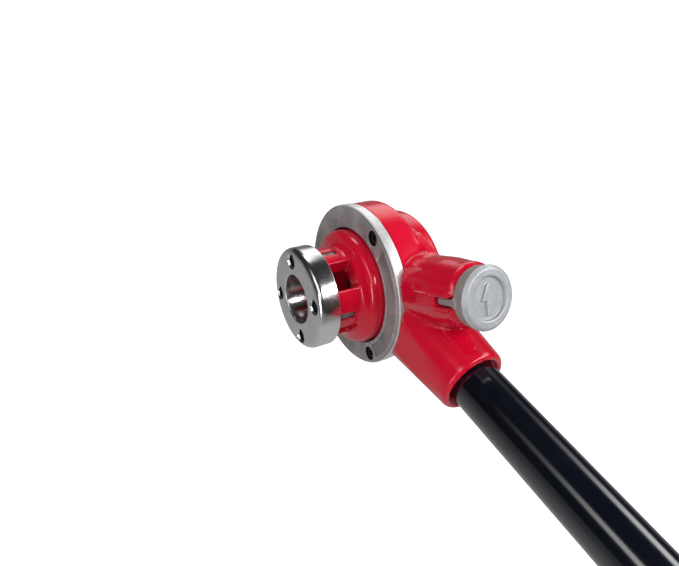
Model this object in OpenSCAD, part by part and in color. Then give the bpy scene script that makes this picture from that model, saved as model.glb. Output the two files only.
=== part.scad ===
// Hand ratchet pipe threader: a cast ratchet head on a tubular handle, a reversible pawl,
// and a drop-in die head with four dies behind a screwed cover plate.
// X runs along the pipe with the cover plate towards -X, the handle points along -Y and Z is up.
// The origin is on the pipe axis, level with the middle of the handle.
// Angles round the pipe are counted from the handle (-Y) towards +Z.

/* [Ratchet head] */
// Outside radius of the face plate
plate_r = 60; // [54:0.5:66]
// Thickness of the face plate
plate_t = 8; // [6:0.5:10]
// Radius of the opening in the face plate
plate_bore_r = 43.5; // [42:0.5:46]
// Where the casting's front face lies on the pipe axis
head_front = -16; // [-18:0.5:-14]
// Where the casting's rear collar ends
head_rear = 27; // [24:0.5:32]
// Radius of the wheel chamber in the casting
chamber_r = 47.6; // [47.4:0.1:49]
// Radius of the circle of face plate screws
plate_screw_pcr = 52.3; // [51:0.1:54]
// Angle of the first face plate screw
plate_screw_angle = 75; // [60:1:90]

/* [Ratchet wheel] */
// Number of ratchet teeth
wheel_teeth = 24; // [16:1:36]
// Radius over the tooth tips
wheel_tip_r = 47.2; // [46:0.1:47.4]
// Radius at the tooth roots
wheel_root_r = 42.4; // [42.2:0.1:43]
// Radius of the wheel's bearing hub
wheel_hub_r = 42.05; // [42:0.05:42.5]
// Distance across the flats of the wheel's octagonal opening
octagon_af = 66; // [60:1:68]

/* [Pawl] */
// Angle of the pawl's axis above the handle
pawl_angle = 30.7; // [28:0.1:40]
// Radius of the pawl plunger
pawl_r = 9; // [7:0.5:10]
// Distance from the pipe axis to the mouth of the pawl boss
boss_mouth = 107.8; // [104:0.1:112]
// Radius of the pawl boss's mouth face
boss_r = 19.9; // [19.5:0.1:21]
// Radius of the pull knob's head
knob_r = 19.9; // [18:0.1:22]
// Distance from the pipe axis to the knob's end face
knob_face = 118.3; // [112:0.1:122]

/* [Handle] */
// Outside radius of the handle tube
tube_r = 16.7; // [13:0.1:18]
// Wall thickness of the handle tube
tube_wall = 3.4; // [2:0.1:4]
// Distance from the pipe axis to the far end of the handle
handle_reach = 600; // [450:10:700]
// Outside radius of the handle socket at its mouth
socket_r = 23.5; // [22:0.1:26]
// Distance from the pipe axis to the mouth of the socket
socket_mouth = 114; // [105:1:125]

/* [Die head] */
// Radius of the die head's flange
flange_r = 42.4; // [41:0.1:43]
// Radius over the four legs that hold the dies
leg_r = 32.5; // [31:0.1:34]
// Where the legs end against the cover plate
leg_front = -54; // [-58:0.5:-50]
// Angle of the middle of the first leg
leg_angle = 13.75; // [0:0.25:45]
// Angle that each chip window opens
window_angle = 36.5; // [30:0.5:45]
// Angle of the first die
die_angle = 6; // [0:0.5:15]
// Width of a die across the slot
die_w = 5.2; // [4:0.1:8]
// Length of a die along the pipe
die_len = 13; // [10:0.5:16]
// Radius of the dies' cutting tips, for half inch pipe thread
thread_r = 9.4; // [9:0.1:12]
// Thread pitch of 14 threads an inch
thread_pitch = 1.814; // [1.2:0.001:2.3]
// Radius of the rear pipe guide, for 21.3 mm pipe
guide_r = 10.87; // [10.8:0.01:11.2]

/* [Cover plate] */
// Outside radius of the cover plate
cover_r = 36.5; // [33:0.1:38]
// Thickness of the cover plate
cover_t = 16; // [8:0.5:16]
// Radius of the cover plate's opening
cover_bore_r = 17.5; // [16:0.5:20]
// Radius of the circle of cover screws
cover_screw_pcr = 27.5; // [26:0.5:29]
// Angle of the first cover screw
cover_screw_angle = 27; // [20:1:35]

/* [Hidden] */
$fn = 96;
run = 0.05;                                  // radial clearance of turning and sliding fits
plate_front = head_front - plate_t;
wheel_front = head_front + 0.4;
tooth_rear = 8.4;                            // rear face of the ratchet teeth
wheel_rear = head_rear - 0.6;
pitch_angle = 360 / wheel_teeth;
oct_r = octagon_af / 2 / cos(22.5);
shank_r = (octagon_af / 2 - run) / cos(22.5);
shank_rear = head_rear + 4;
ring_x = wheel_rear + 1.4;                   // middle of the retaining ring
ring_mean_r = 33.3;
leg_bore_r = 20;
window_rear = leg_front + 18;
cover_front = leg_front - cover_t;
stem_r = 5;
pawl_head_top = 62;
bushing_s = 90;                              // shoulder that the spring bushing sits on
key_s = 93.6;                                // bottom of the key slots in the boss
pin_s = 104;                                 // roll pin through the knob
bushing_r = 10.5;
bushing_len = 7;
skirt_r = 18.9;
hub_r = 9.8;                                 // knob's inner hub
fin_w = 4.4;
fin_in = 11.8;
fin_out = 19.7;
socket_floor = 62;
tube_end_r = tube_r - 0.5;                    // tube's threaded end in the socket
plug_t = 4;
enamel = [0.78, 0.06, 0.16];
steel = [0.55, 0.54, 0.53];

// A profile drawn as [radius, position along the pipe], turned round the pipe axis.
module turned() rotate([0, 90, 0]) rotate_extrude() children();

// A frame whose Z axis leaves the pipe axis at the angle a, with X kept along the pipe.
module radial(a) rotate([90 - a, 0, 0]) children();

// A flat shape, drawn across the pipe axis, from x0 to x1.
module slab(x0, x1) translate([x0, 0, 0]) rotate([90, 0, 90]) linear_extrude(x1 - x0) children();

// Something along the pipe, set out at radius r and angle a.
module at(r, a) translate([0, -r * cos(a), r * sin(a)]) children();

// A cylinder along the pipe from x0 to x1.
module rod_x(x0, x1, r) translate([x0, 0, 0]) rotate([0, 90, 0]) cylinder(h = x1 - x0, r = r);

// The octagon that keys the die head into the wheel.
module octagon(x0, x1, r)
    translate([x0, 0, 0]) rotate([0, 90, 0]) rotate(22.5) cylinder(h = x1 - x0, r = r, $fn = 8);

module head_outline() polygon([
    [0, head_front], [plate_r - 1.5, head_front], [plate_r - 0.5, head_front + 1], [plate_r - 0.5, 3],
    [plate_r - 1.7, 4.8], [plate_r - 7, 7.5], [plate_r - 10.1, 9.5], [plate_r - 10.8, 12],
    [plate_r - 10.8, head_rear - 7], [plate_r - 11.7, head_rear - 3.6], [plate_r - 13.7, head_rear - 0.9],
    [plate_r - 15.3, head_rear],
    [0, head_rear]]);

module head_hollow() polygon([
    [0, head_front - 1], [chamber_r, head_front - 1], [chamber_r, tooth_rear + 0.2],
    [wheel_hub_r + run, tooth_rear + 0.2], [wheel_hub_r + run, head_rear + 1], [0, head_rear + 1]]);

// Key slot in the pawl boss, open at the mouth, on the side given by s.
module key_slot(s) {
    w = fin_w + 1.2;
    translate([s * 16, 0, key_s + w / 2]) {
        rotate([0, 90, 0]) cylinder(h = 16, r = w / 2, center = true);
        translate([-8, -w / 2, 0]) cube([16, w, 30]);
    }
}

module head_casting() color(enamel) difference() {
    union() {
        turned() head_outline();
        radial(pawl_angle) {
            rotate_extrude() polygon([
                [0, 40], [boss_r + 2.6, 40], [boss_r + 2.4, boss_mouth - 21], [boss_r + 1, boss_mouth - 9.8],
                [boss_r + 0.7, boss_mouth - 2.4], [boss_r, boss_mouth], [0, boss_mouth]]);
        }
        // the socket flares into the ring, but not in front of the face plate
        intersection() {
            translate([-23.6, -200, -60]) cube([60, 200, 120]);
            radial(0) rotate_extrude() polygon([
                [0, 40], [socket_r + 6.5, 40],
                [socket_r + 2.6, socket_mouth - 32], [socket_r, socket_mouth - 4],
                [socket_r - 0.6, socket_mouth - 1.5], [socket_r - 2, socket_mouth], [0, socket_mouth]]);
        }
    }
    // room for the face plate, which the boss and socket reach past
    turned() translate([0, head_front - 20]) square([plate_r + 0.5, 20]);
    turned() head_hollow();
    radial(pawl_angle) {
        translate([0, 0, 30]) cylinder(h = 60, r = pawl_r + run);
        translate([0, 0, bushing_s]) cylinder(h = 30, r = bushing_r);
        translate([0, 0, bushing_s + bushing_len + 0.1]) cylinder(h = 1.3, r = bushing_r + 0.9);
        for (s = [-1, 1]) key_slot(s);
    }
    radial(0) {
        translate([0, 0, socket_floor]) cylinder(h = 80, r = tube_end_r + run);
        translate([0, 0, socket_mouth - 3.5]) cylinder(h = 8, r = tube_r + 2.6);
    }
    for (i = [0:2]) at(plate_screw_pcr, plate_screw_angle + 120 * i) rod_x(head_front - 1, -1, 2.45);
}

module face_plate() color([0.5, 0.47, 0.46]) difference() {
    turned() polygon([
        [plate_bore_r + 0.6, plate_front], [plate_r - 1.2, plate_front], [plate_r, plate_front + 1.2],
        [plate_r, head_front], [plate_bore_r, head_front], [plate_bore_r, plate_front + 0.6]]);
    for (i = [0:2]) at(plate_screw_pcr, plate_screw_angle + 120 * i) {
        rod_x(plate_front - 1, head_front + 1, 2.7);
        rod_x(plate_front - 1, plate_front + 4.8, 5.3);
    }
}

// Cap screw with a hexagon socket: head seat at x0, head towards -X.
module cap_screw(x0, x1, r, head_r, head_h) difference() {
    union() {
        rod_x(x0 - 0.01, x1, r);
        rod_x(x0 - head_h, x0, head_r);
    }
    translate([x0 - head_h - 1, 0, 0]) rotate([0, 90, 0])
        cylinder(h = head_h * 0.6 + 1, r = head_r * 0.55, $fn = 6);
}

module face_plate_screws() color([0.12, 0.12, 0.13])
    for (i = [0:2]) at(plate_screw_pcr, plate_screw_angle + 120 * i)
        cap_screw(plate_front + 4.8, -3, 2.4, 4.6, 3);

module handle_tube() color([0.03, 0.04, 0.07]) radial(0) difference() {
    union() {
        // the end in the socket is turned down to its threaded size
        translate([0, 0, socket_floor]) cylinder(h = socket_mouth + 3 - socket_floor, r = tube_end_r);
        translate([0, 0, socket_mouth + 2])
            cylinder(h = handle_reach - plug_t - socket_mouth - 2, r = tube_r);
    }
    translate([0, 0, socket_floor - 1]) cylinder(h = handle_reach, r = tube_r - tube_wall);
}

module handle_end_plug() color([0.05, 0.05, 0.05]) radial(0) difference() {
    union() {
        translate([0, 0, handle_reach - plug_t]) cylinder(h = plug_t - 1, r = tube_r);
        translate([0, 0, handle_reach - 1]) cylinder(h = 1, r1 = tube_r, r2 = tube_r - 1);
        translate([0, 0, handle_reach - plug_t - 20]) cylinder(h = 20, r = tube_r - tube_wall);
    }
    translate([0, 0, handle_reach - plug_t - 21]) cylinder(h = 20, r = tube_r - tube_wall - 2);
}

module spring_bushing() color(steel) radial(pawl_angle) difference() {
    translate([0, 0, bushing_s]) cylinder(h = bushing_len, r = bushing_r);
    translate([0, 0, bushing_s - 1]) cylinder(h = bushing_len + 2, r = stem_r + run);
}

module bushing_clip() color(steel) radial(pawl_angle) difference() {
    translate([0, 0, bushing_s + bushing_len + 0.15]) cylinder(h = 1.2, r = bushing_r + 0.8);
    translate([0, 0, bushing_s]) cylinder(h = 20, r = bushing_r - 1.4);
    translate([-2, 0, bushing_s]) cube([4, 20, 20]);
}

module ratchet_wheel() color(steel) difference() {
    turned() polygon([
        [0, wheel_front], [wheel_tip_r - 0.5, wheel_front], [wheel_tip_r, wheel_front + 0.5],
        [wheel_tip_r, tooth_rear], [wheel_hub_r, tooth_rear], [wheel_hub_r, wheel_rear], [0, wheel_rear]]);
    // the gaps between the teeth, one of them under the pawl
    for (i = [1:wheel_teeth]) radial(pawl_angle + i * pitch_angle) slab(wheel_front - 1, tooth_rear + 1)
        polygon([[-2.1, wheel_root_r], [2.1, wheel_root_r], [4.7, wheel_root_r + 6.6], [-4.7, wheel_root_r + 6.6]]);
    octagon(wheel_front - 1, wheel_rear + 1, oct_r);
}

module die_head_outline() {
    polygon([
        [0, leg_front], [leg_r - 0.8, leg_front], [leg_r, leg_front + 0.8], [leg_r, -38], [leg_r + 1.2, -35],
        [leg_r + 4.5, -33], [flange_r, -27.6], [flange_r, wheel_front - 0.1], [0, wheel_front - 0.1]]);
    translate([flange_r - 5.4, -27.6]) circle(r = 5.4);
}

module die_head_body() color(enamel) difference() {
    union() {
        turned() die_head_outline();
        intersection() {
            octagon(wheel_front - 1, shank_rear, shank_r);
            turned() polygon([
                [0, -20], [40, -20], [40, shank_rear - 4.5], [shank_r - 2.3, shank_rear], [0, shank_rear]]);
        }
    }
    rod_x(leg_front - 1, -1.5, leg_bore_r);
    rod_x(-3, shank_rear + 1, guide_r);
    turned() translate([31.9, ring_x - 1.1]) square([10, 2.2]);
    for (k = [0:3]) {
        radial(leg_angle + 45 + 90 * k) slab(leg_front - 1, window_rear)
            polygon([[0, 0], [45 * tan(window_angle / 2), 45], [-45 * tan(window_angle / 2), 45]]);
        radial(die_angle + 90 * k) translate([leg_front - 1, -die_w / 2 - run, 12])
            cube([die_len + 1.6, die_w + 2 * run, 40]);
        at(cover_screw_pcr, cover_screw_angle + 90 * k) rod_x(leg_front - 1, -39, 2.45);
    }
}

module retaining_ring() color(steel) difference() {
    turned() translate([ring_mean_r, ring_x]) circle(r = 1);
    radial(200) translate([-50, -3, 0]) cube([100, 6, 60]);
}

// One die: a flat block with thread teeth on its inner end.
module die(k) color([0.33, 0.3, 0.3]) radial(die_angle + 90 * k) translate([leg_front + 0.1, die_w / 2, 0])
    rotate([90, 0, 0]) linear_extrude(die_w) difference() {
        translate([0, thread_r]) square([die_len, leg_r - 1.2 - thread_r]);
        for (i = [0:6]) translate([(i + 0.5) * thread_pitch + 0.15, thread_r])
            polygon([[-thread_pitch / 2, -0.1], [thread_pitch / 2, -0.1], [0, 1.35]]);
    }

module cover_outline() {
    polygon([
        [cover_bore_r + 0.8, cover_front], [cover_r - 5, cover_front], [cover_r, cover_front + 5],
        [cover_r, leg_front - 0.8], [cover_r - 0.8, leg_front],
        [cover_bore_r, leg_front], [cover_bore_r, cover_front + 0.8]]);
    translate([cover_r - 5, cover_front + 5]) circle(r = 5);
}

module cover_plate() color([0.8, 0.8, 0.8]) difference() {
    turned() cover_outline();
    for (k = [0:3]) at(cover_screw_pcr, cover_screw_angle + 90 * k) {
        rod_x(cover_front - 1, leg_front + 1, 2.7);
        rod_x(cover_front - 1, cover_front + 6.5, 4.6);
        translate([cover_front - 0.3, 0, 0]) rotate([0, 90, 0]) cylinder(h = 1.6, r1 = 6.2, r2 = 4.6);
    }
}

module cover_screws() color([0.12, 0.12, 0.13])
    for (k = [0:3]) at(cover_screw_pcr, cover_screw_angle + 90 * k)
        cap_screw(cover_front + 6.5, -40, 2.4, 4.25, 4);

// Hole for the roll pin, across the knob's hub and the pawl's stem.
module pin_bore(len) translate([0, 0, pin_s]) rotate([90, 0, 0]) cylinder(h = len, r = 1.5, center = true);

module pawl() color(steel) radial(pawl_angle) difference() {
    union() {
        translate([0, 0, 48.2]) cylinder(h = pawl_head_top - 48.2, r = pawl_r);
        translate([0, 0, pawl_head_top - 1]) cylinder(h = boss_mouth + 4 - pawl_head_top, r = stem_r);
        // tip with one driving side and one bevelled side
        slab(-6.5, 6.5) polygon([
            [-2, 42.9], [0.3, 42.9], [3.4, 47.2], [3.4, 50], [-3.4, 50], [-3.4, 47.2]]);
    }
    pin_bore(60);
}

module knob_outline() polygon([
    [stem_r, pin_s - 4.5], [hub_r, pin_s - 4.5], [hub_r, boss_mouth + 0.1], [skirt_r, boss_mouth + 0.1],
    [skirt_r, knob_face - 2.9], [knob_r - 0.4, knob_face - 2.9], [knob_r, knob_face - 2.5],
    [knob_r, knob_face - 1.7], [knob_r - 0.8, knob_face - 0.7], [knob_r - 2.4, knob_face],
    [knob_r - 6.4, knob_face], [knob_r - 6.9, knob_face - 1.2], [0, knob_face - 1.2],
    [0, boss_mouth + 3], [stem_r, boss_mouth + 3]]);

module pawl_knob() color([0.75, 0.76, 0.78]) radial(pawl_angle) difference() {
    union() {
        rotate_extrude() knob_outline();
        // key that drops into a slot of the boss
        intersection() {
            translate([-fin_out - 1, 0, key_s + 1 + fin_w / 2]) {
                translate([0, -fin_w / 2, 0])
                    cube([fin_out + 1 - fin_in, fin_w, boss_mouth + 0.8 - key_s - fin_w / 2]);
                rotate([0, 90, 0]) cylinder(h = fin_out + 1 - fin_in, r = fin_w / 2);
            }
            translate([0, 0, 80]) cylinder(h = 40, r = fin_out);
        }
        // arrow that shows the turning direction
        translate([0, 0, knob_face - 1.3]) linear_extrude(0.9) rotate(90)
            polygon([[-10, -1.8], [-0.8, -1.8], [-0.8, -5.2], [9.6, 0], [-0.8, 5.2], [-0.8, 1.8], [-10, 1.8]]);
    }
    pin_bore(2 * hub_r + 2);
}

module pawl_pin() color(steel) radial(pawl_angle) pin_bore(2 * hub_r - 0.4);

module pawl_spring() color(steel) radial(pawl_angle)
    for (i = [0:5]) translate([0, 0, pawl_head_top + 0.9 + i * (bushing_s - pawl_head_top - 1.8) / 5])
        rotate_extrude() translate([7.2, 0]) circle(r = 0.8);

head_casting();
face_plate();
face_plate_screws();
handle_tube();
handle_end_plug();
spring_bushing();
bushing_clip();
ratchet_wheel();
die_head_body();
retaining_ring();
die(0);  // die_1
die(1);  // die_2
die(2);  // die_3
die(3);  // die_4
cover_plate();
cover_screws();
pawl();
pawl_knob();
pawl_pin();
pawl_spring();
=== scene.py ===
"""A hand ratchet pipe threader: cast ratchet head and handle, drop-in die head, reversible pawl.

Built in the frame of its CAD model, in metres: X along the pipe, the handle along -Y, Z up.
Outlines are written in millimetres and angles in degrees from the handle (-Y) towards +Z.
"""
import math

import bmesh
import bpy
import numpy as np
from mathutils import Matrix, Vector


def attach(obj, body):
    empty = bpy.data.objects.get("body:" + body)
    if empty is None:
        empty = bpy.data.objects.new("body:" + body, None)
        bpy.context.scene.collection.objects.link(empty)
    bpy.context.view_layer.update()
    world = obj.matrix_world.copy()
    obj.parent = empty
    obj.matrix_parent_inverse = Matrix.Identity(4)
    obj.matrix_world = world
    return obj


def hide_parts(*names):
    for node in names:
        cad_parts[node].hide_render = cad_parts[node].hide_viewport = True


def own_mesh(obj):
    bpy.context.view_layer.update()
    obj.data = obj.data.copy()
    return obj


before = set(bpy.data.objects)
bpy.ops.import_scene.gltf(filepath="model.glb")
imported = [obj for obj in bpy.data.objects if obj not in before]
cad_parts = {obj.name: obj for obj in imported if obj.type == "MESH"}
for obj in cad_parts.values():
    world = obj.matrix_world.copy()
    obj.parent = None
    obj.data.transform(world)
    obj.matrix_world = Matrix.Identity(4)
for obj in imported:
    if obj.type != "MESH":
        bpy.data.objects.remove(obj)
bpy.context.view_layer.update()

# ---------------------------------------------------------------------------------------------
# Camera, at the front left of the ratchet head and above it, close in, with the handle running
# out of the picture.
lens = bpy.data.cameras.new("camera")
lens.sensor_width = 36.0
lens.lens = 29.16
lens.clip_start = 0.01
camera = bpy.data.objects.new("camera", lens)
camera.location = (-0.21997, -0.25887, 0.25067)
camera.rotation_euler = [math.radians(a) for a in (51.958, -7.569, -29.675)]
bpy.context.scene.collection.objects.link(camera)
bpy.context.scene.camera = camera

# ---------------------------------------------------------------------------------------------
# Studio: a pale floor well under the tool, six soft boxes and a dim room, so that the enamel
# and the chrome mirror the boxes and little else. The finished colours are shown as they are.
MM = 0.001
ALONG_HANDLE, UPRIGHT = (0, 1, 0), (0, 0, 1)
CLOTH_GLOW = ((0.12, 0.15), (0.35, 0.93), (0.5, 1.0), (0.65, 0.93), (0.88, 0.15))
ROOM_LIGHT, ROOM_MIRRORED = 0.48, 0.025
FLOOR_Z, FLOOR_REACH = -0.55, 60
bpy.context.scene.view_settings.view_transform = "Standard"


def soft_box(name, place, target, size, power, lengthways=UPRIGHT):
    """A rectangular light that fades towards its edges, like a lamp behind stretched cloth."""
    light = bpy.data.lights.new(name, "AREA")
    light.shape = "RECTANGLE"
    light.size, light.size_y = size
    light.energy = power
    light.use_nodes = True
    tree = light.node_tree
    cloth = tree.nodes.new("ShaderNodeSeparateXYZ")
    tree.links.new(tree.nodes.new("ShaderNodeNewGeometry").outputs["Parametric"], cloth.inputs[0])
    fades = []
    for side in cloth.outputs[:2]:
        fade = tree.nodes.new("ShaderNodeFloatCurve")
        curve = fade.mapping.curves[0]
        curve.points[0].location = (0.0, 0.0)
        curve.points[1].location = (1.0, 0.0)
        for across, level in CLOTH_GLOW:
            curve.points.new(across, level)
        fade.mapping.update()
        tree.links.new(side, fade.inputs["Value"])
        fades.append(fade.outputs[0])
    glow = tree.nodes.new("ShaderNodeMath")
    glow.operation = "MULTIPLY"
    for fade, socket in zip(fades, glow.inputs):
        tree.links.new(fade, socket)
    tree.links.new(glow.outputs[0], tree.nodes["Emission"].inputs["Strength"])
    lamp = bpy.data.objects.new(name, light)
    lamp.location = place
    lamp.visible_camera = False
    back = (Vector(place) - Vector(target)).normalized()
    side = Vector(lengthways).cross(back).normalized()
    lamp.rotation_euler = Matrix((side, back.cross(side), back)).transposed().to_euler()
    bpy.context.scene.collection.objects.link(lamp)


soft_box("high_right_strip", (0.8, -0.5, 0.67), (0, -0.5, 0), (0.62, 1.6), 14.0, ALONG_HANDLE)
soft_box("high_left_strip", (-0.72, -0.5, 0.72), (0, -0.5, 0), (0.46, 1.6), 7.5, ALONG_HANDLE)
soft_box("key_box", (0.4, -0.85, 0.85), (0, -0.05, 0), (1.2, 0.36), 22.0)
soft_box("overhead_box", (0.1, 0.8, 1.0), (0, 0, 0), (1.0, 0.6), 8.0)
soft_box("rear_right_card", (0.9, 1.2, 0.7), (0, 0, 0), (1.9, 1.5), 14.0)
soft_box("front_left_strip", (-1.0, -0.6, 0.12), (0, -0.03, 0), (0.22, 1.0), 9.0)

room = bpy.data.worlds.new("room")
room.use_nodes = True
tree = room.node_tree
walls = tree.nodes["Background"]
walls.inputs["Color"].default_value = (1.0, 1.0, 1.0, 1.0)
dim = tree.nodes.new("ShaderNodeMath")
dim.operation = "MULTIPLY_ADD"
dim.inputs[1].default_value = ROOM_MIRRORED - ROOM_LIGHT
dim.inputs[2].default_value = ROOM_LIGHT
tree.links.new(tree.nodes.new("ShaderNodeLightPath").outputs["Is Glossy Ray"], dim.inputs[0])
tree.links.new(dim.outputs[0], walls.inputs["Strength"])
bpy.context.scene.world = room

# The floor shines white for the camera alone, so it lights nothing.
pale_floor = bpy.data.materials.new("pale_floor")
pale_floor.use_nodes = True
tree = pale_floor.node_tree
shader = tree.nodes["Principled BSDF"]
shader.inputs["Base Color"].default_value = (0.38, 0.38, 0.38, 1.0)
shader.inputs["Roughness"].default_value = 0.9
shader.inputs["Emission Color"].default_value = (1.0, 1.0, 1.0, 1.0)
rays = tree.nodes.new("ShaderNodeLightPath")
tree.links.new(rays.outputs["Is Camera Ray"], shader.inputs["Emission Strength"])
mesh = bpy.data.meshes.new("floor")
mesh.from_pydata([(x * FLOOR_REACH, y * FLOOR_REACH, FLOOR_Z)
                  for x, y in ((-1, -1), (1, -1), (1, 1), (-1, 1))], [], [(0, 1, 2, 3)])
mesh.materials.append(pale_floor)
floor = bpy.data.objects.new("floor", mesh)
bpy.context.scene.collection.objects.link(floor)

# ---------------------------------------------------------------------------------------------
# Head casting: one grey iron casting with the wheel chamber, the pawl boss and the handle
# socket, sprayed with a thick glossy red enamel that rounds every edge.
ALONG_PIPE = Matrix.Rotation(math.radians(90), 4, "Y")
PAWL_ANGLE = 30.7
HEAD_FRONT, HEAD_REAR = -16, 27
BOSS_MOUTH, SOCKET_MOUTH = 107.8, 114


def outward(angle):
    """A frame whose Z axis leaves the pipe axis at that angle, with X kept along the pipe."""
    return Matrix.Rotation(math.radians(90 - angle), 4, "X")


def rounded(corners, steps=6):
    """The points of a closed outline, each corner (across, along, fillet) turned into an arc."""
    points = []
    for i, (across, along, fillet) in enumerate(corners):
        here = Vector((across, along))
        if not fillet:
            points.append(here)
            continue
        back = (Vector(corners[i - 1][:2]) - here).normalized()
        on = (Vector(corners[(i + 1) % len(corners)][:2]) - here).normalized()
        half = back.angle(on) / 2
        centre = here + (back + on).normalized() * fillet / math.sin(half)
        first = here + back * fillet / math.tan(half) - centre
        last = here + on * fillet / math.tan(half) - centre
        start = math.atan2(first.y, first.x)
        sweep = (math.atan2(last.y, last.x) - start + math.pi) % (2 * math.pi) - math.pi
        for k in range(steps + 1):
            turn = start + sweep * k / steps
            points.append(centre + fillet * Vector((math.cos(turn), math.sin(turn))))
    return points


def new_piece(name, shape, place=Matrix.Identity(4)):
    """An object from a bmesh drawn in millimetres, with its place put into the mesh."""
    bmesh.ops.remove_doubles(shape, verts=shape.verts, dist=1e-4)
    bmesh.ops.recalc_face_normals(shape, faces=shape.faces)
    bmesh.ops.transform(shape, matrix=place @ Matrix.Scale(MM, 4), verts=shape.verts)
    mesh = bpy.data.meshes.new(name)
    shape.to_mesh(mesh)
    shape.free()
    piece = bpy.data.objects.new(name, mesh)
    bpy.context.scene.collection.objects.link(piece)
    return piece


def turned(name, corners, place=ALONG_PIPE, segments=144, steps=6):
    """A closed outline of (radius, along, fillet) turned round the Z axis of its place."""
    shape = bmesh.new()
    rings = []
    for radius, along in rounded(corners, steps):
        if radius < 1e-6:
            rings.append([shape.verts.new((0, 0, along))])
            continue
        rings.append([shape.verts.new((radius * math.cos(t), radius * math.sin(t), along))
                      for t in (2 * math.pi * k / segments for k in range(segments))])
    for i, ring in enumerate(rings):
        other = rings[(i + 1) % len(rings)]
        if len(ring) == len(other) == 1:
            continue
        for k in range(segments):
            corner = [ring[k % len(ring)], ring[(k + 1) % len(ring)],
                      other[(k + 1) % len(other)], other[k % len(other)]]
            shape.faces.new(list(dict.fromkeys(corner)))
    return new_piece(name, shape, place)


def rod(name, radius, near, far, place, segments=64):
    return turned(name, [(0, near, 0), (radius, near, 0), (radius, far, 0), (0, far, 0)],
                  place, segments)


def slab(name, corners, near, far, place, steps=5):
    """An outline of (sideways, outward, fillet) run along the pipe from near to far."""
    shape = bmesh.new()
    points = rounded(corners, steps)
    front = [shape.verts.new((near, across, out)) for across, out in points]
    back = [shape.verts.new((far, across, out)) for across, out in points]
    shape.faces.new(front)
    shape.faces.new(back)
    for k in range(len(points)):
        n = (k + 1) % len(points)
        shape.faces.new((front[k], front[n], back[n], back[k]))
    return new_piece(name, shape, place)


def applied(piece):
    """Puts the result of a piece's modifiers into its mesh."""
    depsgraph = bpy.context.evaluated_depsgraph_get()
    mesh = bpy.data.meshes.new_from_object(piece.evaluated_get(depsgraph))
    piece.modifiers.clear()
    piece.data = mesh
    return piece


def combine(piece, operation, others):
    """Joins (UNION) or cuts (DIFFERENCE) a piece with others, which are used up."""
    for other in others:
        step = piece.modifiers.new("combine", "BOOLEAN")
        step.operation = operation
        step.solver = "EXACT"
        step.object = other
    applied(piece)
    for other in others:
        bpy.data.objects.remove(other)
    return piece


def smooth_shaded(piece, sharp_angle=None):
    """Shades a piece smooth, but not across edges sharper than an angle in degrees."""
    for face in piece.data.polygons:
        face.use_smooth = True
    if sharp_angle is not None:
        piece.data.set_sharp_from_angle(angle=math.radians(sharp_angle))
    return piece


def cast_skin(piece, grain, passes):
    """Blends a rough shape into one even skin, as sand casting and thick paint leave it."""
    skin = piece.modifiers.new("skin", "REMESH")
    skin.mode = "VOXEL"
    skin.voxel_size = grain * MM
    soften = piece.modifiers.new("soften", "SMOOTH")
    soften.factor = 0.5
    soften.iterations = passes
    return smooth_shaded(applied(piece))


def cast_fillets(piece, grain, fillet, passes):
    """Fills the inward creases of an even skin up to a fillet, as in a sand mould."""
    mesh = piece.data
    ends = np.empty(2 * len(mesh.edges), dtype=np.int32)
    mesh.edges.foreach_get("vertices", ends)
    first, second = ends.reshape(-1, 2).T
    count = len(mesh.vertices)
    share = np.bincount(ends, minlength=count)[:, None]
    spots, normals = np.empty((count, 3)), np.empty((count, 3))
    mesh.vertices.foreach_get("co", spots.ravel())
    allowed = grain ** 2 / (4 * fillet) * MM
    for _ in range(passes):
        mesh.vertex_normals.foreach_get("vector", normals.ravel())
        around = np.stack([np.bincount(first, spots[second, k], count)
                           + np.bincount(second, spots[first, k], count)
                           for k in range(3)], axis=1) / share
        rise = ((around - spots) * normals).sum(axis=1)
        spots = spots + 0.7 * np.clip(rise - allowed, 0, None)[:, None] * normals
        mesh.vertices.foreach_set("co", spots.ravel())
        mesh.update()
    return piece


casting = turned("ratchet_head_casting", [
    (0, HEAD_FRONT, 0), (59.5, HEAD_FRONT, 0.6), (59.5, 4.6, 3.2), (49.6, 9, 2),
    (49.2, HEAD_REAR, 6), (0, HEAD_REAR, 0)])
boss = turned("boss", [
    (0, 38, 0), (22.5, 38, 0), (22.3, 86, 30), (21.0, 99, 10), (20.8, 104.6, 1.6), (18.7, 107.0, 0.6),
    (18.3, BOSS_MOUTH, 0.3), (0, BOSS_MOUTH, 0)], outward(PAWL_ANGLE))
key_pad = slab("key_pad", [(-5.4, 50, 0), (5.4, 50, 0), (5.4, 106.2, 2), (-5.4, 106.2, 2)], -22.4, 22.4,
               outward(PAWL_ANGLE))
socket = turned("socket", [
    (0, 38, 0), (30, 38, 0), (26, 84, 40), (23.3, SOCKET_MOUTH, 3), (0, SOCKET_MOUTH, 0)], outward(0))
for corner in socket.data.vertices:
    corner.co.x = max(corner.co.x, -23.4 * MM)
gusset = slab("gusset", [(5, 38, 0), (38, 30, 4), (35, 44, 5), (20, 63, 3), (5, 66, 0)], 4, 12.5,
              outward(PAWL_ANGLE))
combine(casting, "UNION", [boss, key_pad, socket, gusset])
cast_skin(casting, 0.85, 4)
cast_fillets(casting, 0.85, 4.5, 60)
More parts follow.
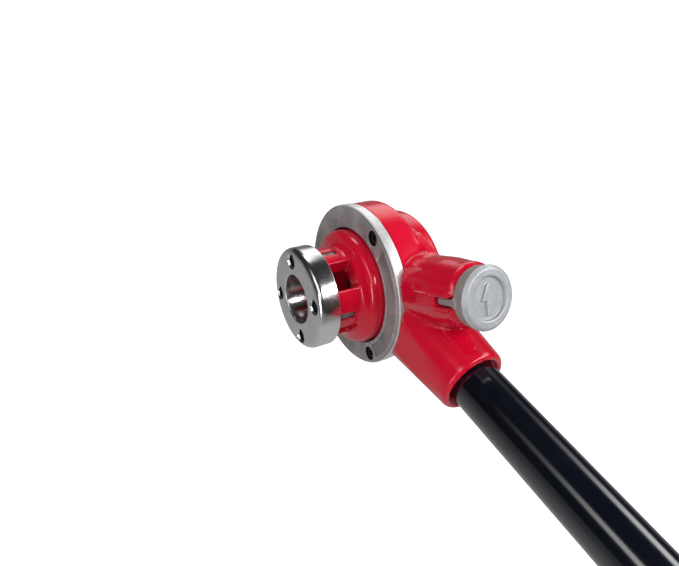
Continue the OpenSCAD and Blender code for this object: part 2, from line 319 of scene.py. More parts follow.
cuts = [
    turned("plate_room", [(0, -40, 0), (60.5, -40, 0), (60.5, HEAD_FRONT, 0), (0, HEAD_FRONT, 0)]),
    turned("wheel_chamber", [(0, -50, 0), (47.8, -50, 0), (47.8, 8.8, 0), (42.5, 8.8, 0),
                             (42.5, 40, 0), (0, 40, 0)]),
    rod("plunger_bore", 9.3, 30, 95, outward(PAWL_ANGLE)),
    rod("bushing_bore", 10.8, 90, 130, outward(PAWL_ANGLE)),
    rod("tube_bore", 16.6, 62, 140, outward(0)),
    turned("mouth_recess", [(0, SOCKET_MOUTH - 3.5, 0), (18.2, SOCKET_MOUTH - 3.5, 0),
                            (19.6, SOCKET_MOUTH + 1, 0), (0, SOCKET_MOUTH + 1, 0)], outward(0)),
]
KEY_BOTTOM, KEY_SLOT_W = 93.4, 6.0
for side in (-1, 1):
    near, far = sorted((8 * side, 26 * side))
    cuts.append(slab("key_slot", [(-KEY_SLOT_W / 2, KEY_BOTTOM, 2.9), (KEY_SLOT_W / 2, KEY_BOTTOM, 2.9),
                                  (KEY_SLOT_W / 2, 130, 0), (-KEY_SLOT_W / 2, 130, 0)],
                     near, far, outward(PAWL_ANGLE)))
combine(casting, "DIFFERENCE", cuts)
cast_skin(casting, 0.9, 3)


def shader_group(name, inputs, outputs):
    """An empty shader node group with named sockets, its input node and its output node."""
    group = bpy.data.node_groups.new(name, "ShaderNodeTree")
    for label, kind, value in inputs:
        group.interface.new_socket(label, in_out="INPUT", socket_type=kind).default_value = value
    for label, kind in outputs:
        group.interface.new_socket(label, in_out="OUTPUT", socket_type=kind)
    return group, group.nodes.new("NodeGroupInput"), group.nodes.new("NodeGroupOutput")


def link(tree, start, end):
    tree.links.new(start, end)


def noise(tree, position, scale, detail=3.0, rough=0.5):
    node = tree.nodes.new("ShaderNodeTexNoise")
    link(tree, position, node.inputs["Vector"])
    node.inputs["Detail"].default_value = detail
    node.inputs["Roughness"].default_value = rough
    if isinstance(scale, float):
        node.inputs["Scale"].default_value = scale
    else:
        link(tree, scale, node.inputs["Scale"])
    return node.outputs["Fac"]


def maths(tree, operation, *values):
    node = tree.nodes.new("ShaderNodeMath")
    node.operation = operation
    for socket, value in zip(node.inputs, values):
        if isinstance(value, (int, float)):
            socket.default_value = value
        else:
            link(tree, value, socket)
    return node.outputs[0]


def stretched(tree, value, low, high):
    """A value's part between low and high, spread over 0 to 1 and clamped."""
    node = tree.nodes.new("ShaderNodeMapRange")
    link(tree, value, node.inputs["Value"])
    for label, level in (("From Min", low), ("From Max", high)):
        node.inputs[label].default_value = level
    return node.outputs["Result"]


def blended(tree, factor, first, second):
    """A colour between first and second, each a socket or a plain colour."""
    node = tree.nodes.new("ShaderNodeMix")
    node.data_type = "RGBA"
    link(tree, factor, node.inputs["Factor"])
    for socket, colour in ((node.inputs["A"], first), (node.inputs["B"], second)):
        if isinstance(colour, tuple):
            socket.default_value = (*colour, 1.0)
        else:
            link(tree, colour, socket)
    return node.outputs["Result"]


# Uneven tone: a finish that drifts between two colours and two degrees of gloss.
tone, tone_in, tone_out = shader_group("uneven_tone", [
    ("Colour", "NodeSocketColor", (0.5, 0.5, 0.5, 1)),
    ("Second Colour", "NodeSocketColor", (0.4, 0.4, 0.4, 1)), ("Patch Scale", "NodeSocketFloat", 40.0),
    ("Gloss Low", "NodeSocketFloat", 0.2), ("Gloss High", "NodeSocketFloat", 0.4)],
    [("Colour", "NodeSocketColor"), ("Roughness", "NodeSocketFloat")])
here = tone.nodes.new("ShaderNodeTexCoord").outputs["Object"]
patch = stretched(tone, noise(tone, here, tone_in.outputs["Patch Scale"], 4.0, 0.6), 0.35, 0.68)
link(tone, blended(tone, patch, tone_in.outputs["Colour"], tone_in.outputs["Second Colour"]),
     tone_out.inputs["Colour"])
fine_scale = maths(tone, "MULTIPLY", tone_in.outputs["Patch Scale"], 6.3)
smudge = stretched(tone, noise(tone, here, fine_scale, 5.0, 0.65), 0.3, 0.75)
gloss_range = maths(tone, "SUBTRACT", tone_in.outputs["Gloss High"], tone_in.outputs["Gloss Low"])
link(tone, maths(tone, "MULTIPLY_ADD", smudge, gloss_range, tone_in.outputs["Gloss Low"]),
     tone_out.inputs["Roughness"])

# Worn edges and crease shade: the sharp outer edges, broken up by noise, show what is underneath, and
# the inward creases are darkened as painted shade.
PAINTED_CREASE_SHADE = (0.02, 0.016, 0.015)
edge_wear_and_shade, wear_shade_in, wear_shade_out = shader_group("worn_edges_and_crease_shade", [
    ("Colour", "NodeSocketColor", (0.5, 0.5, 0.5, 1)),
    ("Bare Colour", "NodeSocketColor", (0.4, 0.4, 0.4, 1)), ("Start", "NodeSocketFloat", 0.55),
    ("Amount", "NodeSocketFloat", 1.0), ("Grime", "NodeSocketFloat", 0.3)],
    [("Colour", "NodeSocketColor")])
here = edge_wear_and_shade.nodes.new("ShaderNodeTexCoord").outputs["Object"]
outward_bend = edge_wear_and_shade.nodes.new("ShaderNodeNewGeometry").outputs["Pointiness"]
sharp = maths(edge_wear_and_shade, "SUBTRACT", outward_bend, wear_shade_in.outputs["Start"])
broken = stretched(edge_wear_and_shade, noise(edge_wear_and_shade, here, 420.0, 6.0, 0.7), 0.42, 0.62)
mask = maths(edge_wear_and_shade, "MULTIPLY", stretched(edge_wear_and_shade, sharp, 0.0, 0.05), broken)
mask = maths(edge_wear_and_shade, "MULTIPLY", mask, wear_shade_in.outputs["Amount"])
worn = blended(edge_wear_and_shade, mask, wear_shade_in.outputs["Colour"], wear_shade_in.outputs["Bare Colour"])
# inward creases, where pointiness falls below 0.49, are darkened as painted shade
crease_shade_mask = maths(edge_wear_and_shade, "MULTIPLY", stretched(edge_wear_and_shade, maths(edge_wear_and_shade, "SUBTRACT", 0.49, outward_bend), 0.0, 0.05),
               wear_shade_in.outputs["Grime"])
link(edge_wear_and_shade, blended(edge_wear_and_shade, crease_shade_mask, worn, PAINTED_CREASE_SHADE), wear_shade_out.inputs["Colour"])

# Cast relief: low lumps and fine grain, as a height for a bump.
relief, relief_in, relief_out = shader_group("cast_relief", [
    ("Lump Scale", "NodeSocketFloat", 90.0), ("Lump Height", "NodeSocketFloat", 0.5),
    ("Grain Scale", "NodeSocketFloat", 900.0), ("Grain Height", "NodeSocketFloat", 0.2)],
    [("Height", "NodeSocketFloat")])
here = relief.nodes.new("ShaderNodeTexCoord").outputs["Object"]
lumps = maths(relief, "MULTIPLY", noise(relief, here, relief_in.outputs["Lump Scale"], 2.0),
              relief_in.outputs["Lump Height"])
grain = maths(relief, "MULTIPLY", noise(relief, here, relief_in.outputs["Grain Scale"], 3.0),
              relief_in.outputs["Grain Height"])
link(relief, maths(relief, "ADD", lumps, grain), relief_out.inputs["Height"])


def use_group(tree, group, **values):
    """Places a shader group in a material; argument names are socket names with _ for spaces."""
    node = tree.nodes.new("ShaderNodeGroup")
    node.node_tree = group
    for label, value in values.items():
        socket = node.inputs[label.replace("_", " ")]
        if isinstance(value, bpy.types.NodeSocket):
            link(tree, value, socket)
        else:
            socket.default_value = (*value, 1.0) if isinstance(value, tuple) else value
    return node


def metalwork(name, colour, second, gloss, patch=40.0, metallic=0.0, coat=0.0, bare=(0.3, 0.3, 0.3),
              edge_start=0.56, edge_amount=0.6, crease_shade=0.3, lumps=(90.0, 0.5), grain=(900.0, 0.2),
              bump=0.15, bump_depth=0.3, **settings):
    """A finish with uneven tone, worn edges, painted shade in the inward creases and relief; settings
    are further shader sockets, with _ for spaces."""
    material = bpy.data.materials.new(name)
    material.use_nodes = True
    tree = material.node_tree
    shader = tree.nodes["Principled BSDF"]
    base = use_group(tree, tone, Colour=colour, Second_Colour=second, Patch_Scale=patch,
                     Gloss_Low=gloss[0], Gloss_High=gloss[1])
    edges = use_group(tree, edge_wear_and_shade, Colour=base.outputs["Colour"], Bare_Colour=bare, Start=edge_start,
                      Amount=edge_amount, Grime=crease_shade)
    link(tree, edges.outputs["Colour"], shader.inputs["Base Color"])
    link(tree, base.outputs["Roughness"], shader.inputs["Roughness"])
    height = use_group(tree, relief, Lump_Scale=lumps[0], Lump_Height=lumps[1], Grain_Scale=grain[0],
                       Grain_Height=grain[1])
    bumps = tree.nodes.new("ShaderNodeBump")
    bumps.inputs["Strength"].default_value = bump
    bumps.inputs["Distance"].default_value = bump_depth * MM
    link(tree, height.outputs["Height"], bumps.inputs["Height"])
    link(tree, bumps.outputs["Normal"], shader.inputs["Normal"])
    shader.inputs["Metallic"].default_value = metallic
    shader.inputs["Coat Weight"].default_value = coat
    for label, value in settings.items():
        shader.inputs[label.replace("_", " ")].default_value = value
    return material


enamel = metalwork(
    "red_enamel", (0.63, 0.003, 0.028), (0.53, 0.002, 0.02), (0.22, 0.36), patch=22.0, coat=0.9,
    bare=(0.8, 0.05, 0.08), edge_start=0.535, edge_amount=0.3,
    lumps=(120.0, 1.0), grain=(700.0, 0.2), bump=0.35, bump_depth=0.5,
    Coat_Roughness=0.05, Specular_IOR_Level=0.08)
casting.data.materials.append(enamel)
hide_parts("head_casting")
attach(casting, "ratchet_head")

# ---------------------------------------------------------------------------------------------
# Face plate: a grey cast ring, faced on a lathe, that closes the wheel chamber. Its rim is
# turned bright, and a shallow sunk panel follows the edge on the handle's side.
PLATE_FRONT, PLATE_R, PLATE_BORE_R = -24, 60, 43.5
PLATE_SCREW_CIRCLE, PLATE_SCREW_ANGLES, PLATE_SCREW_SEAT = 52.3, (75, 195, 315), -19.2


def spot(radius, angle):
    """A frame moved out from the pipe axis to a radius at an angle."""
    return Matrix.Translation(outward(angle) @ Vector((0, 0, radius)) * MM)


plate = turned("face_plate_ring", [
    (PLATE_BORE_R, PLATE_FRONT, 0.8), (57.3, PLATE_FRONT, 0.4), (57.7, PLATE_FRONT + 0.5, 0.3),
    (59.2, PLATE_FRONT + 0.6, 0.7), (PLATE_R, PLATE_FRONT + 1.6, 0.6), (PLATE_R, HEAD_FRONT, 0.3),
    (PLATE_BORE_R, HEAD_FRONT, 0.3)], segments=192)
cuts = []
for angle in PLATE_SCREW_ANGLES:
    hole = spot(PLATE_SCREW_CIRCLE, angle) @ ALONG_PIPE
    cuts.append(turned("screw_hole", [
        (0, PLATE_FRONT - 1, 0), (6.1, PLATE_FRONT - 1, 0), (5.3, PLATE_FRONT + 0.6, 0),
        (5.3, PLATE_SCREW_SEAT, 0), (0, PLATE_SCREW_SEAT, 0)], hole, 48))
combine(plate, "DIFFERENCE", cuts)


def arc_band(name, inner, outer, first, last, near, far, steps=40):
    """A band between two radii and two angles round the pipe, from near to far."""
    shape = bmesh.new()
    turns = [math.radians(first + (last - first) * k / steps) for k in range(steps + 1)]
    edge = [(outer, t) for t in turns] + [(inner, t) for t in reversed(turns)]
    loops = [[shape.verts.new((x, -r * math.cos(t), r * math.sin(t))) for r, t in edge]
             for x in (near, far)]
    for loop in loops:
        shape.faces.new(loop)
    for k in range(len(edge)):
        n = (k + 1) % len(edge)
        shape.faces.new((loops[0][k], loops[0][n], loops[1][n], loops[1][k]))
    return new_piece(name, shape)


combine(plate, "DIFFERENCE", [
    arc_band("panel_cut", 46.6, 55.9, -36, 60, PLATE_FRONT - 1, PLATE_FRONT + 0.8)])
smooth_shaded(plate, 28)
plate_grey = metalwork(
    "cast_plate_grey", (0.36, 0.33, 0.335), (0.21, 0.19, 0.194), (0.34, 0.55), patch=70.0, metallic=0.15,
    bare=(0.6, 0.59, 0.58), edge_start=0.515, edge_amount=1.0, lumps=(260.0, 0.8), grain=(1500.0, 0.6),
    bump=0.5, bump_depth=0.3)
rim_bright = metalwork(
    "turned_rim", (0.86, 0.87, 0.86), (0.7, 0.71, 0.7), (0.32, 0.5), patch=120.0, metallic=0.55,
    bare=(0.8, 0.8, 0.8), lumps=(400.0, 0.2), grain=(2200.0, 0.3), bump=0.2, bump_depth=0.1)
# Black oxide for the screws, also laid on the walls of the screw holes as painted shade.
black_oxide_and_hole_shade = metalwork(
    "black_oxide_and_hole_shade", (0.022, 0.022, 0.025), (0.035, 0.033, 0.032), (0.3, 0.5), patch=300.0, metallic=0.8,
    bare=(0.25, 0.24, 0.23), edge_start=0.53, edge_amount=0.6, lumps=(600.0, 0.2), grain=(3000.0, 0.4),
    bump=0.2, bump_depth=0.1)


def in_a_screw_hole(face, depth, hole_r, circle_r, angles):
    """Whether a face is deeper than a depth inside one of the screw holes round the pipe."""
    return face.center.x > depth * MM and any(
        (face.center - spot(circle_r, a).translation).yz.length < hole_r * MM for a in angles)


for finish in (plate_grey, rim_bright, black_oxide_and_hole_shade):
    plate.data.materials.append(finish)
# The rim takes the turned finish; the walls of the screw holes take the dark black oxide as painted
# shade.
for face in plate.data.polygons:
    if face.center.yz.length > (PLATE_R - 0.7) * MM:
        face.material_index = 1
    elif in_a_screw_hole(face, PLATE_FRONT + 0.5, 5.5, PLATE_SCREW_CIRCLE, PLATE_SCREW_ANGLES):
        face.material_index = 2
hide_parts("face_plate")
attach(plate, "ratchet_head")

# ---------------------------------------------------------------------------------------------
# Face plate screws: three blackened socket cap screws, sunk in the plate. One screw is turned
# and its hexagon cut once; a tree sets copies out round the pipe.


def cap_screw(name, seat, tip, shank_r, head_r, head_h):
    """One socket cap screw along the pipe on the axis, head towards -X."""
    screw = turned(name, [
        (0, seat - head_h, 0), (head_r, seat - head_h, 0.5), (head_r, seat, 0.2), (shank_r, seat, 0.2),
        (shank_r, tip, 0.6), (0, tip, 0)], segments=40, steps=3)
    key = slab("key", [(head_r * 0.55 * math.cos(t), head_r * 0.55 * math.sin(t), 0)
                       for t in (math.pi * k / 3 for k in range(6))],
               seat - head_h - 1, seat - head_h * 0.4, Matrix.Identity(4))
    return smooth_shaded(combine(screw, "DIFFERENCE", [key]), 35)


def round_the_pipe(name, seed, count, radius, first_angle, material):
    """Copies of a seed set out round the pipe axis by Geometry Nodes, as one plain mesh."""
    tree = bpy.data.node_groups.new(name + "_tree", "GeometryNodeTree")
    sockets = {}
    for label, kind, value in (("Seed", "NodeSocketObject", seed), ("Count", "NodeSocketInt", count),
                               ("Circle Radius", "NodeSocketFloat", radius * MM),
                               ("First Angle", "NodeSocketFloat", math.radians(first_angle)),
                               ("Finish", "NodeSocketMaterial", material)):
        sockets[tree.interface.new_socket(label, in_out="INPUT", socket_type=kind).identifier] = value
    tree.interface.new_socket("Geometry", in_out="OUTPUT", socket_type="NodeSocketGeometry")
    start, end = tree.nodes.new("NodeGroupInput"), tree.nodes.new("NodeGroupOutput")
    line = tree.nodes.new("GeometryNodePoints")
    link(tree, start.outputs["Count"], line.inputs["Count"])
    # each point's turn round the pipe, from the handle's side towards +Z
    index = tree.nodes.new("GeometryNodeInputIndex").outputs[0]
    step = maths(tree, "DIVIDE", 2 * math.pi, start.outputs["Count"])
    turn = maths(tree, "MULTIPLY_ADD", index, step, start.outputs["First Angle"])
    place = tree.nodes.new("ShaderNodeCombineXYZ")
    link(tree, maths(tree, "MULTIPLY", maths(tree, "MULTIPLY", maths(tree, "COSINE", turn), -1.0),
                     start.outputs["Circle Radius"]), place.inputs["Y"])
    link(tree, maths(tree, "MULTIPLY", maths(tree, "SINE", turn), start.outputs["Circle Radius"]),
         place.inputs["Z"])
    link(tree, place.outputs[0], line.inputs["Position"])
    spin = tree.nodes.new("ShaderNodeCombineXYZ")
    link(tree, maths(tree, "MULTIPLY", turn, -1.0), spin.inputs["X"])
    source = tree.nodes.new("GeometryNodeObjectInfo")
    link(tree, start.outputs["Seed"], source.inputs["Object"])
    copies = tree.nodes.new("GeometryNodeInstanceOnPoints")
    link(tree, line.outputs[0], copies.inputs["Points"])
    link(tree, source.outputs["Geometry"], copies.inputs["Instance"])
    link(tree, spin.outputs[0], copies.inputs["Rotation"])
    real = tree.nodes.new("GeometryNodeRealizeInstances")
    link(tree, copies.outputs[0], real.inputs[0])
    coat = tree.nodes.new("GeometryNodeSetMaterial")
    link(tree, real.outputs[0], coat.inputs["Geometry"])
    link(tree, start.outputs["Finish"], coat.inputs["Material"])
    link(tree, coat.outputs[0], end.inputs[0])
    piece = bpy.data.objects.new(name, bpy.data.meshes.new(name))
    bpy.context.scene.collection.objects.link(piece)
    ring = piece.modifiers.new("ring", "NODES")
    ring.node_group = tree
    for identifier, value in sockets.items():
        ring[identifier] = value
    applied(piece)
    bpy.data.objects.remove(seed)
    return piece


plate_screws = round_the_pipe(
    "face_plate_cap_screws", cap_screw("plate_screw", PLATE_SCREW_SEAT, -3, 2.4, 4.6, 3),
    len(PLATE_SCREW_ANGLES), PLATE_SCREW_CIRCLE, PLATE_SCREW_ANGLES[0], black_oxide_and_hole_shade)
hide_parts("face_plate_screws")
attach(plate_screws, "ratchet_head")

# ---------------------------------------------------------------------------------------------
# Handle: one inch steel tube, screwed into the socket, in gloss blue-black paint, with a
# moulded plastic plug in its open end.
TUBE_R, HANDLE_REACH = 16.7, 600
tube = turned("handle_steel_tube", [
    (13.3, 62, 0), (TUBE_R - 0.5, 62, 0.4), (TUBE_R - 0.5, SOCKET_MOUTH + 2, 0),
    (TUBE_R, SOCKET_MOUTH + 2.6, 0.3), (TUBE_R, HANDLE_REACH - 4, 0.5), (13.3, HANDLE_REACH - 4, 0)],
    outward(0), 128)
smooth_shaded(tube, 30)
handle_paint = metalwork(
    "blue_black_paint", (0.0008, 0.0016, 0.0055), (0.0014, 0.0028, 0.0085), (0.16, 0.26), patch=9.0,
    coat=1.0, bare=(0.05, 0.055, 0.07), edge_start=0.56, edge_amount=0.4, lumps=(60.0, 0.8),
    grain=(600.0, 0.1), bump=0.1, bump_depth=0.4, Coat_Roughness=0.08, Coat_IOR=1.75,
    Specular_IOR_Level=0.4)
tube.data.materials.append(handle_paint)
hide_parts("handle_tube")
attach(tube, "ratchet_head")

plug = turned("handle_end_cap", [
    (0, HANDLE_REACH - 5, 0), (11.3, HANDLE_REACH - 5, 0.5), (11.3, HANDLE_REACH - 24, 0.4),
    (13.25, HANDLE_REACH - 24, 0.5), (13.25, HANDLE_REACH - 4, 0), (TUBE_R, HANDLE_REACH - 4, 0.2),
    (TUBE_R, HANDLE_REACH - 0.6, 1.6), (11, HANDLE_REACH, 2.0), (10, HANDLE_REACH - 0.8, 0.5),
    (0, HANDLE_REACH - 0.8, 0)], outward(0), 96)
smooth_shaded(plug, 35)
moulded = metalwork(
    "moulded_black", (0.022, 0.022, 0.022), (0.03, 0.03, 0.031), (0.45, 0.62), patch=80.0,
    bare=(0.06, 0.06, 0.06), lumps=(400.0, 0.3), grain=(2600.0, 0.8), bump=0.3, bump_depth=0.12)
plug.data.materials.append(moulded)
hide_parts("handle_end_plug")
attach(plug, "ratchet_head")

# ---------------------------------------------------------------------------------------------
# Ratchet wheel: a hardened steel ring with 24 teeth outside and the octagon that drives the die
# head inside; its hub turns in the rear collar. The sizes are the CAD's, with broken edges.


def softened_copy(node, name, edge, segments=2, sharp=32):
    """A copy of a CAD node, merged, with its sharp edges broken by a small bevel."""
    piece = bpy.data.objects.new(name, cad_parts[node].data.copy())
    piece.data.materials.clear()
    bpy.context.scene.collection.objects.link(piece)
    shape = bmesh.new()
    shape.from_mesh(piece.data)
    bmesh.ops.remove_doubles(shape, verts=shape.verts, dist=1e-6)
    bmesh.ops.dissolve_limit(shape, angle_limit=math.radians(0.8), verts=shape.verts, edges=shape.edges)
    shape.to_mesh(piece.data)
    shape.free()
    broken = piece.modifiers.new("broken_edges", "BEVEL")
    broken.width = edge * MM
    broken.segments = segments
    broken.limit_method = "ANGLE"
    broken.angle_limit = math.radians(sharp)
    applied(piece)
    return smooth_shaded(piece, sharp)


wheel_steel = metalwork(
    "oiled_wheel_steel", (0.3, 0.29, 0.28), (0.2, 0.19, 0.185), (0.28, 0.45), patch=90.0, metallic=0.95,
    bare=(0.6, 0.59, 0.58), edge_start=0.52, edge_amount=0.9, lumps=(500.0, 0.3), grain=(2000.0, 0.5),
    bump=0.2, bump_depth=0.12)
wheel = softened_copy("ratchet_wheel", "ratchet_wheel_teeth", 0.35)
wheel.data.materials.append(wheel_steel)
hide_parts("ratchet_wheel")
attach(wheel, "ratchet")

# ---------------------------------------------------------------------------------------------
# Die head body: a second red casting. A round flange seats in the face plate, four legs carry
# the dies, and an octagonal shank behind drops through the ratchet wheel.
LEG_FRONT, FLANGE_REAR, SHANK_REAR = -54, -15.7, 31
LEG_MIDDLE, WINDOW_ANGLE, DIE_ANGLE = 13.75, 36.5, 6
COVER_SCREW_CIRCLE, COVER_SCREW_ANGLES = 27.5, (27, 117, 207, 297)
die_head = turned("die_head_casting", [
    (0, LEG_FRONT, 0), (32.5, LEG_FRONT, 0.6), (32.5, -35.5, 3), (37.5, -33, 1.5), (42.4, -33, 5.6),
    (42.4, FLANGE_REAR, 0.8), (0, FLANGE_REAR, 0)])
shank_r = (33 - 0.05) / math.cos(math.radians(22.5))
octagon = [(shank_r * math.cos(t), shank_r * math.sin(t), 0)
           for t in (math.radians(22.5 + 45 * k) for k in range(8))]
shank = slab("shank", octagon, FLANGE_REAR - 2, SHANK_REAR, Matrix.Identity(4))
combine(shank, "DIFFERENCE", [turned("shank_chamfer", [
    (33.4, SHANK_REAR + 0.5, 0), (36.5, SHANK_REAR - 4.5, 0), (60, SHANK_REAR - 4.5, 0),
    (60, SHANK_REAR + 0.5, 0)])])
combine(die_head, "UNION", [shank])
cuts = [rod("chip_bore", 20, LEG_FRONT - 1, -1.5, ALONG_PIPE, 96),
        rod("guide_bore", 11.1, -3, SHANK_REAR + 1, ALONG_PIPE, 96)]
window = math.radians(WINDOW_ANGLE / 2)
for k in range(4):
    cuts.append(slab("chip_window", [
        (17 * math.tan(window), 17, 0), (52 * math.tan(window), 52, 0), (-52 * math.tan(window), 52, 0),
        (-17 * math.tan(window), 17, 0)], LEG_FRONT - 1, -35.4, outward(LEG_MIDDLE + 45 + 90 * k)))
combine(die_head, "DIFFERENCE", cuts)
cast_skin(die_head, 0.8, 5)
cuts = [turned("ring_groove", [(31.9, 26.7, 0), (40, 26.7, 0), (40, 28.9, 0), (31.9, 28.9, 0)])]
for k, angle in enumerate(COVER_SCREW_ANGLES):
    cuts.append(slab("die_slot", [(-2.75, 12, 0), (2.75, 12, 0), (2.75, 50, 0), (-2.75, 50, 0)],
                     LEG_FRONT - 1, -40.3, outward(DIE_ANGLE + 90 * k)))
    cuts.append(rod("screw_hole", 2.5, LEG_FRONT - 1, -39,
                    spot(COVER_SCREW_CIRCLE, angle) @ ALONG_PIPE, 24))
combine(die_head, "DIFFERENCE", cuts)
smooth_shaded(die_head, 50)
shank_steel = metalwork(
    "machined_shank", (0.36, 0.35, 0.345), (0.27, 0.26, 0.255), (0.3, 0.48), patch=110.0, metallic=0.9,
    bare=(0.62, 0.61, 0.6), edge_start=0.52, edge_amount=0.7, lumps=(500.0, 0.3), grain=(1800.0, 0.5),
    bump=0.25, bump_depth=0.12)
die_head.data.materials.append(enamel)
die_head.data.materials.append(shank_steel)
for face in die_head.data.polygons:
    if face.center.x > (FLANGE_REAR + 0.4) * MM:
        face.material_index = 1
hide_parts("die_head_body")
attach(die_head, "die_head")

# ---------------------------------------------------------------------------------------------
# Retaining ring: a split ring of round spring wire in a groove of the shank, which snaps out
# behind the wheel.
spring_steel = metalwork(
    "spring_steel", (0.42, 0.41, 0.4), (0.33, 0.32, 0.31), (0.2, 0.36), patch=200.0, metallic=1.0,
    bare=(0.7, 0.7, 0.68), lumps=(600.0, 0.2), grain=(2500.0, 0.3), bump=0.15, bump_depth=0.08)
wire_ring = softened_copy("retaining_ring", "retaining_wire_ring", 0.15, 1, 60)
wire_ring.data.materials.append(spring_steel)
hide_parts("retaining_ring")
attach(wire_ring, "die_head")

# ---------------------------------------------------------------------------------------------
# Dies: four hardened chasers, ground flat, each with its row of thread teeth at the inner end.
die_steel = metalwork(
    "hardened_die_steel", (0.13, 0.118, 0.115), (0.085, 0.078, 0.078), (0.3, 0.5), patch=160.0,
    metallic=0.85, bare=(0.4, 0.39, 0.38), edge_start=0.52, edge_amount=0.9, lumps=(500.0, 0.3),
    grain=(1800.0, 0.6), bump=0.3, bump_depth=0.12)
for number in (1, 2, 3, 4):
    die = softened_copy("die_%d" % number, "chaser_%d" % number, 0.18, 1, 40)
    die.data.materials.append(die_steel)
    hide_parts("die_%d" % number)
    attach(die, "die_head")

# ---------------------------------------------------------------------------------------------
# Cover plate: a thick steel ring, turned, polished and chromed, that shuts the die slots. Its
# front edge is rolled over, and four countersunk screw holes break into the roll.
COVER_FRONT, COVER_R, COVER_BORE_R = -70, 36.5, 17.5
COVER_SCREW_SEAT = COVER_FRONT + 6.5
cover = turned("cover_ring", [
    (COVER_BORE_R, COVER_FRONT, 1.2), (COVER_R, COVER_FRONT, 4.8), (COVER_R, LEG_FRONT, 1.0),
    (COVER_BORE_R, LEG_FRONT, 0.4)], segments=256, steps=12)
cuts = []
for angle in COVER_SCREW_ANGLES:
    hole = spot(COVER_SCREW_CIRCLE, angle) @ ALONG_PIPE
    cuts.append(turned("cover_hole", [
        (0, COVER_FRONT - 1.5, 0), (6.8, COVER_FRONT - 1.5, 0), (4.7, COVER_FRONT + 1.3, 0.6),
        (4.7, COVER_SCREW_SEAT, 0), (0, COVER_SCREW_SEAT, 0)], hole, 64))
combine(cover, "DIFFERENCE", cuts)
smooth_shaded(cover, 24)
chrome = metalwork(
    "bright_chrome", (0.83, 0.83, 0.84), (0.76, 0.765, 0.77), (0.15, 0.24), patch=70.0, metallic=1.0,
    bare=(0.92, 0.92, 0.92), lumps=(120.0, 0.5), grain=(1500.0, 0.04), bump=0.05, bump_depth=0.3)
cover.data.materials.append(chrome)
cover.data.materials.append(black_oxide_and_hole_shade)
# The walls of the screw holes below the countersinks take the dark black oxide as painted shade.
for face in cover.data.polygons:
    if in_a_screw_hole(face, COVER_FRONT + 2.2, 4.9, COVER_SCREW_CIRCLE, COVER_SCREW_ANGLES):
        face.material_index = 1
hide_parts("cover_plate")
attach(cover, "die_head")

# Cover screws: four blackened socket cap screws that hold the cover to the legs.
cover_screws = round_the_pipe(
    "cover_cap_screws", cap_screw("cover_screw", COVER_SCREW_SEAT, -40, 2.4, 4.25, 4),
    len(COVER_SCREW_ANGLES), COVER_SCREW_CIRCLE, COVER_SCREW_ANGLES[0], black_oxide_and_hole_shade)
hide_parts("cover_screws")
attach(cover_screws, "die_head")

# ---------------------------------------------------------------------------------------------
# Pawl set: the steel plunger, its bushing and snap ring in the boss, the coil spring between
# them, and the roll pin through knob and stem.
turned_steel = metalwork(
    "turned_steel", (0.46, 0.45, 0.44), (0.36, 0.35, 0.34), (0.22, 0.4), patch=150.0, metallic=0.95,
    bare=(0.7, 0.7, 0.68), edge_start=0.52, edge_amount=0.7, lumps=(500.0, 0.2), grain=(2400.0, 0.4),
    bump=0.2, bump_depth=0.1)
for node, name, body, edge in (("pawl", "pawl_plunger", "pawl_set", 0.25),
                               ("pawl_pin", "knob_roll_pin", "pawl_set", 0.15),
                               ("spring_bushing", "spring_stop_bushing", "ratchet_head", 0.3),
                               ("bushing_clip", "bushing_snap_ring", "ratchet_head", 0.12)):
    piece = softened_copy(node, name, edge)
    piece.data.materials.append(turned_steel)
    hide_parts(node)
    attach(piece, body)

SPRING_FIRST, SPRING_LAST, COIL_R, WIRE_R, TURNS = 63.0, 89.0, 7.2, 0.8, 6.0
tree = bpy.data.node_groups.new("coil_spring_tree", "GeometryNodeTree")
spring_values = {}
for label, kind, value in (("Turns", "NodeSocketFloat", TURNS),
                           ("Coil Radius", "NodeSocketFloat", COIL_R * MM),
                           ("Wire Radius", "NodeSocketFloat", WIRE_R * MM),
                           ("Length", "NodeSocketFloat", (SPRING_LAST - SPRING_FIRST) * MM),
                           ("Finish", "NodeSocketMaterial", spring_steel)):
    spring_values[tree.interface.new_socket(label, in_out="INPUT", socket_type=kind).identifier] = value
tree.interface.new_socket("Geometry", in_out="OUTPUT", socket_type="NodeSocketGeometry")
start, end = tree.nodes.new("NodeGroupInput"), tree.nodes.new("NodeGroupOutput")
helix = tree.nodes.new("GeometryNodeCurveSpiral")
helix.inputs["Resolution"].default_value = 48
for label in ("Start Radius", "End Radius"):
    link(tree, start.outputs["Coil Radius"], helix.inputs[label])
link(tree, start.outputs["Turns"], helix.inputs["Rotations"])
link(tree, start.outputs["Length"], helix.inputs["Height"])
wire = tree.nodes.new("GeometryNodeCurvePrimitiveCircle")
wire.inputs["Resolution"].default_value = 14
link(tree, start.outputs["Wire Radius"], wire.inputs["Radius"])
swept = tree.nodes.new("GeometryNodeCurveToMesh")
swept.inputs["Fill Caps"].default_value = True
link(tree, helix.outputs[0], swept.inputs["Curve"])
link(tree, wire.outputs[0], swept.inputs["Profile Curve"])
real = tree.nodes.new("GeometryNodeRealizeInstances")
coat = tree.nodes.new("GeometryNodeSetMaterial")
link(tree, swept.outputs[0], real.inputs[0])
link(tree, real.outputs[0], coat.inputs["Geometry"])
link(tree, start.outputs["Finish"], coat.inputs["Material"])
link(tree, coat.outputs[0], end.inputs[0])
spring = bpy.data.objects.new("pawl_coil_spring", bpy.data.meshes.new("pawl_coil_spring"))
bpy.context.scene.collection.objects.link(spring)
coil = spring.modifiers.new("coil", "NODES")
coil.node_group = tree
for identifier, value in spring_values.items():
    coil[identifier] = value
applied(spring)
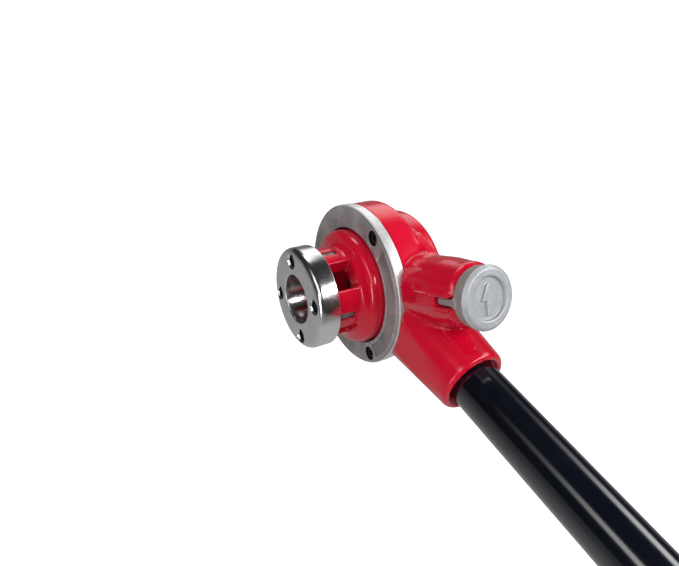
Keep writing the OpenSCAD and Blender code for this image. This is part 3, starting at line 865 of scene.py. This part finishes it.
spring.data.transform(outward(PAWL_ANGLE) @ Matrix.Translation((0, 0, SPRING_FIRST * MM)))
smooth_shaded(spring, 50)
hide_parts("pawl_spring")
# its outer end bears on the bushing, which stays, and the plunger's shoulder closes its turns up
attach(spring, "ratchet_head")
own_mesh(spring)

# ---------------------------------------------------------------------------------------------
# Pull knob: cast in zinc and left bare. A thick rim stands round a sunk face with a raised
# arrow, and a key on the skirt drops into the slot of the boss.
KNOB_FACE, KNOB_R, SKIRT_R, KEY_W = 118.3, 19.9, 18.9, 4.4
FLOOR_OF_FACE = KNOB_FACE - 2.1
knob = turned("pull_knob", [
    (0, 99.5, 0), (9.8, 99.5, 0.6), (9.8, BOSS_MOUTH + 0.1, 0.3), (SKIRT_R, BOSS_MOUTH + 0.1, 0.4),
    (SKIRT_R + 0.3, KNOB_FACE - 2.9, 0.5), (KNOB_R, KNOB_FACE - 2.7, 0.4),
    (KNOB_R, KNOB_FACE - 1.9, 0.8), (KNOB_R - 2.3, KNOB_FACE, 1.0), (13.6, KNOB_FACE, 0.4),
    (12.9, FLOOR_OF_FACE, 0.3), (0, FLOOR_OF_FACE, 0)], outward(PAWL_ANGLE), 192)
key = slab("key", [
    (-KEY_W / 2, 94.6, 2.1), (KEY_W / 2, 94.6, 2.1), (KEY_W / 2, 106.2, 1.5), (3.5, 108.9, 0.5),
    (3.5, 110, 0), (-3.5, 110, 0), (-3.5, 108.9, 0.5), (-KEY_W / 2, 106.2, 1.5)],
    -19.7, -11.8, outward(PAWL_ANGLE))
UP_THE_FACE = Matrix(((0, 1, 0, 0), (0, 0, 1, 0), (1, 0, 0, 0), (0, 0, 0, 1)))
arrow = slab("arrow", [
    (-1.8, -10, 0.4), (-1.8, -0.8, 0.4), (-5.2, -0.8, 0.5), (0, 9.6, 0.6), (5.2, -0.8, 0.5),
    (1.8, -0.8, 0.4), (1.8, -10, 0.4)], -1.6, 1.6,
    outward(PAWL_ANGLE) @ Matrix.Translation((0, 0, FLOOR_OF_FACE * MM)) @ UP_THE_FACE)
combine(knob, "UNION", [key, arrow])
cast_skin(knob, 0.34, 3)
# The zinc is darkened strongly in its inward creases, round the arrow and inside the rim, as painted
# shade.
zinc = metalwork(
    "bare_zinc", (0.5, 0.515, 0.54), (0.42, 0.435, 0.46), (0.34, 0.5), patch=260.0, metallic=0.35,
    bare=(0.86, 0.88, 0.9), edge_start=0.51, edge_amount=1.0, crease_shade=0.95, lumps=(420.0, 0.6),
    grain=(1700.0, 0.9), bump=0.6, bump_depth=0.25)
# The skirt and key are darker and duller: partly a rougher as-cast surface, partly painted shade.
dull_zinc_and_painted_shade = metalwork(
    "dull_zinc_and_painted_shade", (0.38, 0.335, 0.32), (0.28, 0.25, 0.24), (0.42, 0.58), patch=110.0, metallic=0.3,
    bare=(0.5, 0.49, 0.48), edge_start=0.52, edge_amount=0.8, lumps=(350.0, 0.5), grain=(1500.0, 0.6),
    bump=0.45, bump_depth=0.18)
knob.data.materials.append(zinc)
knob.data.materials.append(dull_zinc_and_painted_shade)
for face in knob.data.polygons:
    if face.center.dot(outward(PAWL_ANGLE) @ Vector((0, 0, 1))) < (KNOB_FACE - 3.1) * MM:
        face.material_index = 1
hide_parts("pawl_knob")
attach(knob, "pawl_set")
